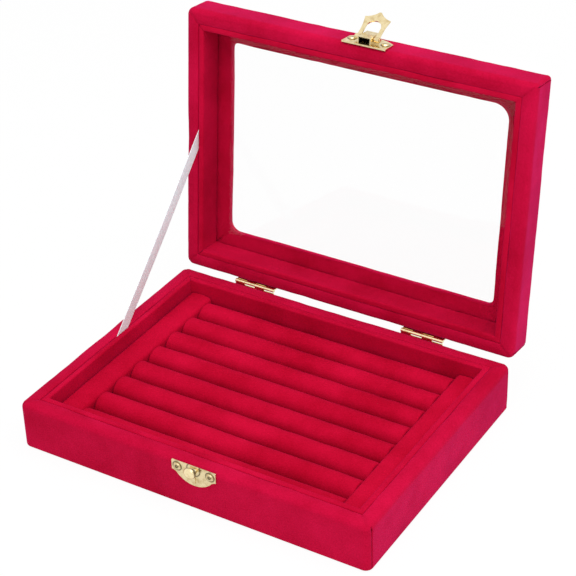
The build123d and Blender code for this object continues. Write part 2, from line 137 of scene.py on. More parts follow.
# A mesh from a grid of points (u, v, xyz); caps close both ends of u with a fan to the ring's middle,
# and the painted shade, one value for each point, is kept as an attribute that the velvet reads
def gridPiece(name, grid, material, body, closeU=False, closeV=True, caps=False, creaseShade=None):
    nu, nv = grid.shape[:2]
    u = np.arange(nu if closeU else nu - 1)[:, None]
    v = np.arange(nv if closeV else nv - 1)[None, :]
    uNext, vNext = (u + 1) % nu, (v + 1) % nv
    quads = np.stack([u * nv + v, uNext * nv + v, uNext * nv + vNext, u * nv + vNext], -1).reshape(-1, 4)
    points = grid.reshape(-1, 3)
    fans = np.zeros((0, 3), int)
    if caps:
        ring = np.arange(nv)
        ringNext = (ring + 1) % nv
        points = np.vstack([points, grid[0].mean(0), grid[-1].mean(0)])
        start = np.stack([ring, ringNext, np.full(nv, nu * nv)], -1)
        end = np.stack([ringNext + (nu - 1) * nv, ring + (nu - 1) * nv, np.full(nv, nu * nv + 1)], -1)
        fans = np.vstack([start, end])
    triangles = np.vstack([quads[:, [0, 1, 2]], quads[:, [0, 2, 3]], fans])
    a, b, c = (points[triangles[:, i]] for i in range(3))
    if np.einsum("ij,ij->i", a, np.cross(b, c)).sum() < 0:  # a negative volume means inside out
        quads, fans = quads[:, ::-1], fans[:, ::-1]
    mesh = bpy.data.meshes.new(name)
    mesh.from_pydata(points.tolist(), [], quads.tolist() + fans.tolist())
    mesh.shade_smooth()
    mesh.set_sharp_from_angle(angle=radians(40))
    # painted shade, one value for each point, kept on the mesh
    if creaseShade is not None:
        values = np.zeros(len(points), np.float32)
        values[:nu * nv] = np.clip(np.broadcast_to(creaseShade, (nu, nv)), 0, 1).ravel()
        mesh.attributes.new("creaseShade", "FLOAT", "POINT").data.foreach_set("value", values)
    mesh.materials.append(material)
    piece = bpy.data.objects.new(name, mesh)
    bpy.context.scene.collection.objects.link(piece)
    if body:
        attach(piece, body)
    return piece


# Points on a circle in the plane of (inset, height), angles in degrees
def arc(centre, radius, start, end, steps):
    angles = np.radians(np.linspace(start, end, steps))
    return np.stack([centre[0] + radius * np.cos(angles), centre[1] + radius * np.sin(angles)], -1)


# Points on a straight run, without its last one
def run(start, end, steps):
    t = np.linspace(0, 1, steps, endpoint=False)[:, None]
    return np.array(start) * (1 - t) + np.array(end) * t


# A straight run with a low crown: the offset to the left of its direction is crown * sin(pi t)
def crownedRun(start, end, steps, crown):
    start, end = np.array(start), np.array(end)
    t = np.linspace(0, 1, steps, endpoint=False)[:, None]
    along = (end - start) / np.linalg.norm(end - start)
    return start * (1 - t) + end * t + np.array([-along[1], along[0]]) * crown * np.sin(pi * t)


def newMaterial(name):
    material = bpy.data.materials.new(name)
    material.use_nodes = True
    nodes, links = material.node_tree.nodes, material.node_tree.links
    return material, nodes, links, nodes["Principled BSDF"], nodes.new("ShaderNodeTexCoord")


def newGroup(name, inputs, outputs):
    group = bpy.data.node_groups.new(name, "ShaderNodeTree")
    kinds = {"value": "NodeSocketFloat", "colour": "NodeSocketColor", "vector": "NodeSocketVector"}
    for socketName, kind, default in inputs:
        socket = group.interface.new_socket(socketName, in_out="INPUT", socket_type=kinds[kind])
        if default is not None:
            socket.default_value = default
    for socketName, kind in outputs:
        group.interface.new_socket(socketName, in_out="OUTPUT", socket_type=kinds[kind])
    return group, group.nodes.new("NodeGroupInput"), group.nodes.new("NodeGroupOutput")


def mathNode(nodes, links, operation, first, second, clamp=False):
    node = nodes.new("ShaderNodeMath")
    node.operation = operation
    node.use_clamp = clamp
    for socket, value in zip(node.inputs, (first, second)):
        if isinstance(value, (int, float)):
            socket.default_value = value
        else:
            links.new(value, socket)
    return node.outputs["Value"]


def noiseNode(nodes, links, vector, scale, detail):
    noise = nodes.new("ShaderNodeTexNoise")
    noise.inputs["Scale"].default_value = scale
    noise.inputs["Detail"].default_value = detail
    links.new(vector, noise.inputs["Vector"])
    return noise


def colourMix(nodes, links, factor, first, second):
    mix = nodes.new("ShaderNodeMix")
    mix.data_type = "RGBA"
    links.new(factor, mix.inputs["Factor"])
    for socket, value in ((mix.inputs[6], first), (mix.inputs[7], second)):
        if isinstance(value, tuple):
            socket.default_value = value
        else:
            links.new(value, socket)
    return mix.outputs[2]


# Short pile: wide brushed patches, fine grain, painted shade in creases, seams and gaps, and a bump of single
# tufts
def velvetPileGroup():
    group, inside, outside = newGroup(
        "velvetPile",
        [("Vector", "vector", None), ("Deep", "colour", (0.4, 0.005, 0.03, 1)),
         ("Bright", "colour", (0.6, 0.01, 0.06, 1)), ("Shadow", "colour", (0.1, 0, 0.01, 1)),
         ("Painted Shade", "value", 0.0), ("Patch Scale", "value", 28.0), ("Patch Contrast", "value", 0.5),
         ("Grain Scale", "value", 1100.0), ("Grain", "value", 0.9), ("Pile Height", "value", 0.00022)],
        [("Colour", "colour"), ("Roughness", "value"), ("Normal", "vector")])
    nodes, links, given = group.nodes, group.links, inside.outputs
    patches = noiseNode(nodes, links, given["Vector"], 1.0, 6.0)
    patches.inputs["Roughness"].default_value = 0.6
    links.new(given["Patch Scale"], patches.inputs["Scale"])
    grain = noiseNode(nodes, links, given["Vector"], 1.0, 2.0)
    links.new(given["Grain Scale"], grain.inputs["Scale"])
    patchMask = nodes.new("ShaderNodeMapRange")
    patchMask.inputs["From Min"].default_value = 0.33
    patchMask.inputs["From Max"].default_value = 0.67
    links.new(patches.outputs["Fac"], patchMask.inputs["Value"])
    patchPart = mathNode(nodes, links, "MULTIPLY", patchMask.outputs["Result"], given["Patch Contrast"])
    grainPart = mathNode(nodes, links, "SUBTRACT", grain.outputs["Fac"], 0.5)
    grainPart = mathNode(nodes, links, "MULTIPLY", grainPart, given["Grain"])
    pileTone = mathNode(nodes, links, "ADD", patchPart, grainPart, clamp=True)
    pileColour = colourMix(nodes, links, pileTone, given["Deep"], given["Bright"])
    # painted shade: the pile's colour goes towards the Shadow colour as far as the mesh's shade amount says
    colour = colourMix(nodes, links, given["Painted Shade"], pileColour, given["Shadow"])
    roughness = nodes.new("ShaderNodeMapRange")
    roughness.inputs["To Min"].default_value = 1.0
    roughness.inputs["To Max"].default_value = 0.8
    links.new(patches.outputs["Fac"], roughness.inputs["Value"])
    bump = nodes.new("ShaderNodeBump")
    bump.inputs["Strength"].default_value = 0.6
    links.new(given["Pile Height"], bump.inputs["Distance"])
    links.new(grain.outputs["Fac"], bump.inputs["Height"])
    links.new(colour, outside.inputs["Colour"])
    links.new(roughness.outputs["Result"], outside.inputs["Roughness"])
    links.new(bump.outputs["Normal"], outside.inputs["Normal"])
    return group


velvetPile = velvetPileGroup()
velvetLook = {
    "Deep": (0.40, 0.0018, 0.023),
    "Bright": (0.57, 0.0046, 0.047),
    "Shadow": (0.16, 0.0006, 0.006),
    "sheen": 0.36,
    "sheenRoughness": 0.35,
    "sheenTint": (1.0, 0.07, 0.56, 1),
    "specular": 0.03,
    "patchScale": 30.0,
    "patchContrast": 0.85,
}


# Crimson velvet; shift moves the brushed patches, tone scales the red, green and blue of the dye and
# bloom the sheen of the pile
def velvetMaterial(name, shift=(0, 0, 0), tone=(1, 1, 1), bloom=1.0):
    material, nodes, links, shader, coordinates = newMaterial(name)
    look = velvetLook
    mapping = nodes.new("ShaderNodeMapping")
    mapping.inputs["Location"].default_value = shift
    links.new(coordinates.outputs["Object"], mapping.inputs["Vector"])
    pile = nodes.new("ShaderNodeGroup")
    pile.node_tree = velvetPile
    links.new(mapping.outputs["Vector"], pile.inputs["Vector"])
    # the painted shade, read from the mesh's attribute
    creaseShade = nodes.new("ShaderNodeAttribute")
    creaseShade.attribute_name = "creaseShade"
    links.new(creaseShade.outputs["Fac"], pile.inputs["Painted Shade"])
    for socket in ("Deep", "Bright", "Shadow"):
        pile.inputs[socket].default_value = tuple(a * b for a, b in zip(look[socket], tone)) + (1,)
    pile.inputs["Patch Scale"].default_value = look["patchScale"]
    pile.inputs["Patch Contrast"].default_value = look["patchContrast"]
    links.new(pile.outputs["Colour"], shader.inputs["Base Color"])
    links.new(pile.outputs["Roughness"], shader.inputs["Roughness"])
    links.new(pile.outputs["Normal"], shader.inputs["Normal"])
    shader.inputs["Specular IOR Level"].default_value = look["specular"]
    shader.inputs["Sheen Weight"].default_value = look["sheen"] * bloom
    shader.inputs["Sheen Roughness"].default_value = look["sheenRoughness"]
    shader.inputs["Sheen Tint"].default_value = look["sheenTint"]
    return material


brassLook = {
    "plated": (0.80, 0.67, 0.40),
    "worn": (0.56, 0.42, 0.20),
    # the colour of the painted shade round screws and the knob and in the bridge's hollow
    "shadeColour": (0.06, 0.04, 0.02, 1),
    "gloss": (0.14, 0.34),
    # radii of rings of painted shade: round each screw head, in each screw's slot, round the knob's foot and at
    # the knob's edge; then their width
    "screwRing": 2.4 * millimetre,
    "screwDot": 1.0 * millimetre,
    "knobRing": 3.7 * millimetre,
    "knobEdge": 3.3 * millimetre,
    "ringWidth": 0.55 * millimetre,
}


# Pale plated brass with cloudy tarnish; tone above 1 makes a lighter copy, which stands in for more light.
# A ring of painted shade lies round each (place, radius) of rings, and a hollow, given by its middle and
# half size in the shut lid, is filled with painted shade and a few painted glints
def brassMaterial(name, rings=(), hollow=None, tone=1.0):
    material, nodes, links, shader, coordinates = newMaterial(name)
    look = brassLook
    cloud = noiseNode(nodes, links, coordinates.outputs["Object"], 420.0, 4.0)
    gloss = nodes.new("ShaderNodeMapRange")
    gloss.inputs["To Min"].default_value, gloss.inputs["To Max"].default_value = look["gloss"]
    links.new(cloud.outputs["Fac"], gloss.inputs["Value"])
    links.new(gloss.outputs["Result"], shader.inputs["Roughness"])
    wear = nodes.new("ShaderNodeMapRange")
    wear.inputs["From Min"].default_value = 0.45
    wear.inputs["From Max"].default_value = 0.75
    links.new(cloud.outputs["Fac"], wear.inputs["Value"])
    plated, worn = (tuple(min(part * tone, 1.0) for part in look[k]) + (1,) for k in ("plated", "worn"))
    colour = colourMix(nodes, links, wear.outputs["Result"], plated, worn)
    # painted shade: a dark ring round each place
    for place, radius in rings:
        distance = nodes.new("ShaderNodeVectorMath")
        distance.operation = "DISTANCE"
        distance.inputs[1].default_value = tuple(place)
        links.new(coordinates.outputs["Object"], distance.inputs[0])
        offRing = mathNode(nodes, links, "SUBTRACT", distance.outputs["Value"], radius)
        offRing = mathNode(nodes, links, "ABSOLUTE", offRing, 0.0)
        ring = nodes.new("ShaderNodeMapRange")
        ring.inputs["From Max"].default_value = look["ringWidth"]
        ring.inputs["To Min"].default_value = 0.95
        ring.inputs["To Max"].default_value = 0.0
        links.new(offRing, ring.inputs["Value"])
        colour = colourMix(nodes, links, ring.outputs["Result"], colour, look["shadeColour"])
    # painted shade filling the hollow
    if hollow is not None:
        middle, halfSize = hollow
        turned = nodes.new("ShaderNodeMapping")
        turned.vector_type = "TEXTURE"  # moves the hollow's middle to zero, then turns it level
        turned.inputs["Location"].default_value = tuple(swingOpen(middle))
        turned.inputs["Rotation"].default_value = (-openAngle, 0, 0)
        links.new(coordinates.outputs["Object"], turned.inputs["Vector"])
        absolute = nodes.new("ShaderNodeVectorMath")
        absolute.operation = "ABSOLUTE"
        links.new(turned.outputs["Vector"], absolute.inputs[0])
        parts = nodes.new("ShaderNodeSeparateXYZ")
        links.new(absolute.outputs["Vector"], parts.inputs["Vector"])
        inside = 1.0
        for axis, limit in zip("XYZ", halfSize):
            within = mathNode(nodes, links, "LESS_THAN", parts.outputs[axis], float(limit))
            inside = mathNode(nodes, links, "MULTIPLY", within, inside)
        # painted glints: where the brass is worn it partly shows through the painted shade
        glint = mathNode(nodes, links, "MULTIPLY", wear.outputs["Result"], 0.5)
        inside = mathNode(nodes, links, "SUBTRACT", inside, glint, clamp=True)
        colour = colourMix(nodes, links, inside, colour, look["shadeColour"])
    links.new(colour, shader.inputs["Base Color"])
    shader.inputs["Metallic"].default_value = 1.0
    bump = nodes.new("ShaderNodeBump")
    bump.inputs["Strength"].default_value = 0.25
    bump.inputs["Distance"].default_value = 0.00006
    links.new(cloud.outputs["Fac"], bump.inputs["Height"])
    links.new(bump.outputs["Normal"], shader.inputs["Normal"])
    return material


# Pressed board or card: fine fibres in two tones
def boardMaterial(name, colour):
    material, nodes, links, shader, coordinates = newMaterial(name)
    fibres = noiseNode(nodes, links, coordinates.outputs["Object"], 900.0, 5.0)
    dark = (colour[0] * 0.6, colour[1] * 0.58, colour[2] * 0.55, 1)
    links.new(colourMix(nodes, links, fibres.outputs["Fac"], colour, dark), shader.inputs["Base Color"])
    shader.inputs["Roughness"].default_value = 0.85
    bump = nodes.new("ShaderNodeBump")
    bump.inputs["Distance"].default_value = 0.0001
    links.new(fibres.outputs["Fac"], bump.inputs["Height"])
    links.new(bump.outputs["Normal"], shader.inputs["Normal"])
    return material


# Clear pane, with the faintest dust in its gloss
def glassMaterial(name):
    material, nodes, links, shader, coordinates = newMaterial(name)
    dust = noiseNode(nodes, links, coordinates.outputs["Object"], 60.0, 3.0)
    haze = nodes.new("ShaderNodeMapRange")
    haze.inputs["From Min"].default_value = 0.5
    haze.inputs["To Max"].default_value = 0.02
    links.new(dust.outputs["Fac"], haze.inputs["Value"])
    links.new(haze.outputs["Result"], shader.inputs["Roughness"])
    shader.inputs["Base Color"].default_value = (0.99, 0.99, 0.99, 1)
    shader.inputs["IOR"].default_value = 1.22  # a thin clean pane hardly mirrors
    shader.inputs["Transmission Weight"].default_value = 1.0
    return material


# Sheer satin ribbon: fine lengthwise threads, a little see-through between them
def ribbonMaterial(name):
    material, nodes, links, shader, coordinates = newMaterial(name)
    threads = nodes.new("ShaderNodeTexWave")
    threads.bands_direction = "Y"
    threads.inputs["Scale"].default_value = 900.0
    threads.inputs["Distortion"].default_value = 0.4
    links.new(coordinates.outputs["UV"], threads.inputs["Vector"])
    tone = colourMix(nodes, links, threads.outputs["Fac"], (0.80, 0.87, 0.93, 1), (0.90, 0.96, 1.0, 1))
    links.new(tone, shader.inputs["Base Color"])
    cover = nodes.new("ShaderNodeMapRange")
    cover.inputs["To Min"].default_value = 0.9
    cover.inputs["To Max"].default_value = 1.0
    links.new(threads.outputs["Fac"], cover.inputs["Value"])
    links.new(cover.outputs["Result"], shader.inputs["Alpha"])
    shader.inputs["Roughness"].default_value = 0.45
    shader.inputs["Sheen Weight"].default_value = 0.2
    return material


outerVelvet = velvetMaterial("outerVelvet")
lidVelvet = velvetMaterial("lidVelvet", shift=(0.31, 0.12, 0.4), tone=(1, 1, 1.06), bloom=1.35)
linerVelvet = velvetMaterial("linerVelvet", shift=(0.05, 0.4, 0.1), tone=(0.98, 0.8, 0.85), bloom=0.7)
rollVelvet = velvetMaterial("rollVelvet", shift=(0.2, 0.1, 0.7), tone=(0.98, 0.7, 0.75), bloom=0.3)
underFelt = velvetMaterial("underFelt", shift=(0.6, 0.6, 0.1), tone=(0.5, 0.5, 0.5))
fibreboard = boardMaterial("fibreboard", (0.42, 0.27, 0.14, 1))
greyCard = boardMaterial("greyCard", (0.35, 0.31, 0.26, 1))
clearGlass = glassMaterial("clearGlass")
satinRibbon = ribbonMaterial("satinRibbon")
print("materials made")

# Sizes of the walls, read from the solids
coverLow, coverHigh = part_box("base_cover")
boardLow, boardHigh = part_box("base_board_front")
linerLow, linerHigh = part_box("base_liner_front")
boxWidth, boxDepth = coverHigh.x - coverLow.x, coverHigh.y - coverLow.y
footLevel, rimTop = coverLow.z, coverHigh.z
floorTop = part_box("base_floor_board")[1].z
skin = boardLow.y - coverLow.y
boardInset = boardHigh.y - coverLow.y
wall = boardInset + skin
linerOuter = linerLow.y - coverLow.y
linerInner = linerHigh.y - coverLow.y
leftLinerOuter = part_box("base_liner_left")[0].x - coverLow.x
lidLow, lidHigh = closedBox("lid_cover")
paneLow, paneHigh = closedBox("glass_pane")
frameHigh = closedBox("lid_top_frame")[1]
lidBottom, lidTop, lipLevel, paneLevel = lidLow[2], lidHigh[2], paneHigh[2], paneLow[2]

coverLook = {
    "cornerRound": 4.0 * millimetre,
    "edgeRound": 3.2 * millimetre,
    "innerRound": 0.9 * millimetre,
    "footRound": 1.2 * millimetre,
    "sharpCorner": 0.35 * millimetre,
    "turnUnder": 14.0 * millimetre,
    "windowInset": 19.7 * millimetre,
    "lidRounds": (4.0, 4.0, 4.0, 2.4),  # mm: hinge side right and left, clasp side left and right
    "windowRounds": (4.0, 5.5, 3.5, 8.5),  # mm, in the same order
    "reveal": 1.0 * millimetre,
    "revealRound": 0.8 * millimetre,
    "rimCrown": 0.2 * millimetre,
    "lean": 0.45 * millimetre,  # how far the wall's cloth swells towards the liner
    "sideSteps": 150,
    "cornerSteps": 37,
    "puff": 0.16 * millimetre,
    "mitreDepth": 0.25 * millimetre,
    "mitreWidth": 0.8 * millimetre,
    "mitreShade": 0.14,
    "seamAngle": 14.0,
    "seamDepth": 0.4 * millimetre,
    "seamWidth": 0.3 * millimetre,
    "dimpleWidth": 0.9 * millimetre,
}


# Carries a profile of (inset, height) round a rectangle whose corners each have radii along the profile;
# u runs round the box and v along the profile. Also gives each ring's angle from the X direction,
# or 90 degrees on the straight sides
def aroundBox(profile, radii):
    inset, height = profile[:, 0], profile[:, 1]
    halfX, halfY = boxWidth / 2 - inset, boxDepth / 2 - inset
    turns = np.radians(np.linspace(0, 90, coverLook["cornerSteps"]))
    easing = (1 - np.cos(np.linspace(0, pi, coverLook["sideSteps"] + 2)[1:-1])) / 2
    corners, fromX = [], []
    for signX, signY, quarter in ((1, 1, 0), (-1, 1, 1), (-1, -1, 2), (1, -1, 3)):
        turn = turns[:, None] + quarter * pi / 2
        radius = radii[quarter]
        x = signX * (halfX - radius)[None, :] + radius[None, :] * np.cos(turn)
        y = signY * (halfY - radius)[None, :] + radius[None, :] * np.sin(turn)
        corners.append(np.stack([x, y, np.broadcast_to(height, x.shape)], -1))
        fromX.append(turns if quarter % 2 == 0 else turns[::-1])
    rings, angles = [], []
    for k in range(4):
        here, after = corners[k], corners[(k + 1) % 4]
        rings += [here, here[-1][None] + (after[0] - here[-1])[None] * easing[:, None, None]]
        angles += [fromX[k], np.full(len(easing), pi / 2)]
    return np.concatenate(rings), np.concatenate(angles)


# Radii of the base's four corners at each inset: the outer round less the inset
def cornerRadii(inset):
    return [np.maximum(coverLook["cornerRound"] - inset, coverLook["sharpCorner"])] * 4


# The same for the lid, where each corner has its own outer round and, near the window, its own round
def lidRadii(inset):
    look = coverLook
    near = np.clip((inset - wall) / (look["windowInset"] - wall), 0, 1) ** 2
    rounds = zip(look["lidRounds"], look["windowRounds"])
    return [np.maximum.reduce([outer * millimetre - inset, near * window * millimetre,
                               np.full_like(inset, look["sharpCorner"])]) for outer, window in rounds]


# Slow waves in the cloth, a mitre crease across each corner of the rim and a seam down each corner;
# mask is 1 on the cloth that shows, and upward is not used
def puffCover(grid, angles, mask, rimLevel, upward, seed):
    look = coverLook
    normals = gridNormals(grid, True, True)
    if np.einsum("uvi,uvi->uv", normals, grid - grid.mean(axis=(0, 1)))[:, mask > 0].mean() < 0:
        normals = -normals
    wave = softWave(grid, 34 * millimetre, seed) + 0.5 * softWave(grid, 11 * millimetre, seed + 1)
    wave = np.minimum(wave, 0.3)  # the rims don't reach each other when the lid is shut
    fromSide = boxWidth / 2 - np.abs(grid[..., 0])
    fromEnd = boxDepth / 2 - np.abs(grid[..., 1])
    fromRim = np.abs(grid[..., 2] - rimLevel)
    onRim = bell(fromRim, 1.2 * millimetre) * (np.maximum(fromSide, fromEnd) < wall)
    mitre = bell((fromSide - fromEnd) / np.sqrt(2), look["mitreWidth"]) * onRim
    seamArc = (angles[:, None] - radians(look["seamAngle"])) * look["cornerRound"]
    onFace = (np.minimum(fromSide, fromEnd) < 0.6 * look["cornerRound"]) & (fromRim > 0.5 * look["edgeRound"])
    seam = bell(seamArc, look["seamWidth"]) * onFace
    dimple = bell(seamArc, look["dimpleWidth"]) * bell(fromRim - look["edgeRound"], look["dimpleWidth"]) * onFace
    sunk = (seam * look["seamDepth"] + dimple * look["seamDepth"] + mitre * look["mitreDepth"]) * mask
    grid = grid + normals * (wave * look["puff"] * mask - sunk)[..., None]
    # the second value is painted shade: darker in the seam down each corner, in the dimple at its top and along
    # the mitre creases
    return grid, (0.75 * seam + 0.8 * dimple ** 2 + look["mitreShade"] * mitre) * mask


# The base's velvet: turned under at the foot, up the wall, over the rim and down inside
def makeBaseCover():
    look = coverLook
    edge, foot, inner, lean = (look[k] for k in ("edgeRound", "footRound", "innerRound", "lean"))
    boardFoot = boardLow.z
    inside = wall + lean
    visible = np.concatenate([
        run((look["turnUnder"], footLevel), (foot, footLevel), 6),
        arc((foot, footLevel + foot), foot, 270, 180, 7),
        run((0, footLevel + foot), (0, rimTop - edge), 18)[1:],
        arc((edge, rimTop - edge), edge, 180, 90, 13),
        crownedRun((edge, rimTop), (inside - inner, rimTop), 9, look["rimCrown"])[1:],
        arc((inside - inner, rimTop - inner), inner, 90, 0, 8),
        run((inside, rimTop - inner), (wall, floorTop), 8)[1:],
    ])
    hidden = np.array([
        (wall, floorTop), (boardInset, floorTop), (boardInset, rimTop - skin),
        (skin, rimTop - skin), (skin, boardFoot), (look["turnUnder"], boardFoot)])
    profile = np.concatenate([visible, hidden])
    mask = np.concatenate([np.ones(len(visible)), np.zeros(len(hidden))])
    mask[profile[:, 1] < footLevel + foot] = 0
    grid, angles = aroundBox(profile, cornerRadii(profile[:, 0]))
    grid, creaseShade = puffCover(grid, angles, mask, rimTop, 1, 11)
    cover = gridPiece("velvetBaseCover", grid, outerVelvet, "base", True, True, creaseShade=creaseShade)
    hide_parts("base_cover")


# The lid's velvet: in at the window, over the top and wall, round the rim and up inside
def makeLidCover():
    look = coverLook
    edge, inner, soft, lean, window = (
        look[k] for k in ("edgeRound", "innerRound", "revealRound", "lean", "windowInset"))
    inside = wall + lean
    visible = np.concatenate([
        run((window, lipLevel), (window, lidTop - soft), 4),
        arc((window - soft, lidTop - soft), soft, 0, 90, 6),
        run((window - soft, lidTop), (edge, lidTop), 20)[1:],
        arc((edge, lidTop - edge), edge, 90, 180, 13),
        run((0, lidTop - edge), (0, lidBottom + edge), 12)[1:],
        arc((edge, lidBottom + edge), edge, 180, 270, 13),
        crownedRun((edge, lidBottom), (inside - inner, lidBottom), 9, -look["rimCrown"])[1:],
        arc((inside - inner, lidBottom + inner), inner, 270, 360, 8),
        run((inside, lidBottom + inner), (wall, lipLevel), 8)[1:],
    ])
    frameInset = window - look["reveal"]
    hidden = np.array([
        (wall, lipLevel), (boardInset, lipLevel), (boardInset, lidBottom + skin), (skin, lidBottom + skin),
        (skin, frameHigh[2]), (frameInset, frameHigh[2]), (frameInset, lipLevel)])
    profile = np.concatenate([visible, hidden])
    mask = np.concatenate([np.ones(len(visible)), np.zeros(len(hidden))])
    grid, angles = aroundBox(profile, lidRadii(profile[:, 0]))
    grid, creaseShade = puffCover(grid, angles, mask, lidBottom, -1, 23)
    cover = gridPiece("velvetLidCover", swingOpen(grid), lidVelvet, "lid", True, True, creaseShade=creaseShade)
    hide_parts("lid_cover")


lipLook = {
    "foldDepth": 0.5 * millimetre,
    "foldWidth": 0.55 * millimetre,
    "fanTurn": 0.28,
    "fanStrength": 0.6,
    "wave": 0.16 * millimetre,
    "widthSteps": 26,
}


# The velvet on the lip's board, seen through the pane: a flat ring whose corners have a mitre fold,
# and a weaker one that fans off it by a fraction of the way along
def makeLip():
    look = lipLook
    inner = coverLook["windowInset"] - coverLook["reveal"]
    across = np.linspace(boardInset, inner, look["widthSteps"])
    lower = np.stack([across, np.full_like(across, lipLevel)], -1)
    upper = np.stack([across[::-1], np.full_like(across, frameHigh[2])], -1)
    profile = np.concatenate([lower, upper])
    mask = np.concatenate([np.ones(len(lower)), np.zeros(len(upper))])
    grid, angles = aroundBox(profile, lidRadii(profile[:, 0]))
    fromSide = boxWidth / 2 - np.abs(grid[..., 0])
    fromEnd = boxDepth / 2 - np.abs(grid[..., 1])
    off, along = (fromSide - fromEnd) / np.sqrt(2), (fromSide + fromEnd) / np.sqrt(2) - boardInset * np.sqrt(2)
    nearCorner = bell(along, 14 * millimetre)
    mitre = bell(off, look["foldWidth"])
    fan = bell(off - look["fanTurn"] * along * np.sign(grid[..., 0]), look["foldWidth"]) * look["fanStrength"]
    fold = np.maximum(mitre, fan) * nearCorner * mask
    wave = (softWave(grid, 16 * millimetre, 71) + 1) * look["wave"] * mask
    grid[..., 2] += fold * look["foldDepth"] + wave
    # painted shade along the folds, at half their strength
    lip = gridPiece("velvetLip", swingOpen(grid), linerVelvet, "lid", True, True, creaseShade=0.5 * fold)
    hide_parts("lid_top_frame")


makeBaseCover()
makeLidCover()
makeLip()
print("velvet covers made")

linerLook = {
    "edgeRound": 0.95 * millimetre,
    "swell": 0.22 * millimetre,
    "wave": 0.15 * millimetre,
    "steps": 120,
}


# One side's card: a section with a rounded top, carried along the side between its mitred ends
def linerGrid(side, bottom, top, seed):
    look = linerLook
    outer, inner = (leftLinerOuter if side == "left" else linerOuter), linerInner
    swell = look["swell"]
    soft = min(look["edgeRound"], (inner - outer + swell) / 2 - 0.02 * millimetre)
    section = np.concatenate([
        run((outer, bottom), (outer - swell, top - soft), 14),
        arc((outer - swell + soft, top - soft), soft, 180, 90, 8),
        arc((inner - soft, top - soft), soft, 90, 0, 8),
        run((inner, top - soft), (inner, bottom), 14)[1:],
        run((inner, bottom), (outer, bottom), 4),
    ])
    inset, height = section[:, 0], section[:, 1]
    t = (1 - np.cos(np.linspace(0, pi, look["steps"])))[:, None] / 2
    if side in ("front", "back"):
        leftEnd = inset + (leftLinerOuter - linerOuter) * (inset < inner - 1e-9)
        start, end = -boxWidth / 2 + leftEnd, boxWidth / 2 - inset
        across = -boxDepth / 2 + inset if side == "front" else boxDepth / 2 - inset
    else:
        start = -boxDepth / 2 + np.maximum(inset, linerOuter)
        end = -start
        across = -boxWidth / 2 + inset if side == "left" else boxWidth / 2 - inset
    along = start[None, :] * (1 - t) + end[None, :] * t
    across, height = np.broadcast_to(across, along.shape), np.broadcast_to(height, along.shape)
    order = (along, across, height) if side in ("front", "back") else (across, along, height)
    grid = np.stack(order, -1)
    lift = np.clip((height - bottom) / (top - bottom), 0, 1)
    acrossAxis = 1 if side in ("front", "back") else 0
    grid[..., acrossAxis] += softWave(grid, 30 * millimetre, seed) * look["wave"] * lift
    grid[..., 2] += softWave(grid, 45 * millimetre, seed + 5) * 0.6 * look["wave"] * lift
    return grid


# The lid's cards are drawn upside down, because their soft edge is at the rim
def makeLiners():
    for index, side in enumerate(sides):
        grid = linerGrid(side, floorTop, rimTop, 40 + index)
        liner = gridPiece(f"velvetBaseLiner_{side}", grid, linerVelvet, "base", caps=True)
        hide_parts(f"base_liner_{side}")
        grid = linerGrid(side, -paneLevel, -lidBottom, 60 + index)
        grid[..., 2] *= -1
        liner = gridPiece(f"velvetLidLiner_{side}", swingOpen(grid), linerVelvet, "lid", caps=True)
        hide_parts(f"lid_liner_{side}")


makeLiners()
print("liners made")

rollLook = {
    "endLength": 1.2 * millimetre,
    "endDraw": 1.0 * millimetre,
    "wave": 0.15 * millimetre,
    "dent": 0.22 * millimetre,
    "gapShade": 0.4,  # how dark the painted shade is where the roll turns down towards the next roll
    "ringSteps": 72,
    "lengthSteps": 160,
}


# A surface of revolution along X, straight and rounded over at both ends; its radius varies by slow
# waves and by dents in the upper half, where the foam has been pressed
def makeRoll(number):
    look = rollLook
    low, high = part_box(f"ring_roll_{number}")
    middleX, half, radius = (high.x + low.x) / 2, (high.x - low.x) / 2, (high.y - low.y) / 2
    centreY, centreZ = (high.y + low.y) / 2, high.z - radius
    shoulder = half - look["endLength"]
    body = np.linspace(-shoulder, shoulder, look["lengthSteps"])
    quarter = np.linspace(0, pi / 2, 9)[1:]
    endX = shoulder + look["endLength"] * np.sin(quarter)
    endRadius = radius - look["endDraw"] * (1 - np.cos(quarter))
    x = np.concatenate([-endX[::-1], body, endX])
    r = np.concatenate([endRadius[::-1], np.full(len(body), radius), endRadius])
    angle = np.linspace(0, 2 * pi, look["ringSteps"], endpoint=False)[None, :]
    outward = np.stack(np.broadcast_arrays(np.zeros_like(x)[:, None], np.cos(angle), np.sin(angle)), -1)
    centre = np.stack([middleX + x, np.full_like(x, centreY), np.full_like(x, centreZ)], -1)[:, None]
    grid = centre + outward * r[:, None, None]
    wave = softWave(grid, 24 * millimetre, 100 + number) + 0.4 * softWave(grid, 8 * millimetre, 120 + number)
    press = np.clip(softWave(grid, 13 * millimetre, 140 + number) - 0.5, 0, 1) * np.clip(np.sin(angle), 0, 1)
    grid += outward * (np.minimum(wave, 0.4) * look["wave"] - press * look["dent"])[..., None]
    grid[..., 2] = np.maximum(grid[..., 2], low.z)
    # painted shade below the crown of each roll, darker further down, where it turns towards the next roll
    gapPaintedShade = np.clip((0.85 - np.sin(angle)) / 0.6, 0, 1) * look["gapShade"]
    roll = gridPiece(f"velvetRoll_{number}", grid, rollVelvet, "base", caps=True, creaseShade=gapPaintedShade)
    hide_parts(f"ring_roll_{number}")


barLook = {
    "crown": 0.5 * millimetre,
    "edgeRound": 2.4 * millimetre,
    "endRound": 1.0 * millimetre,
    "wave": 0.16 * millimetre,
    "lengthSteps": 110,
}


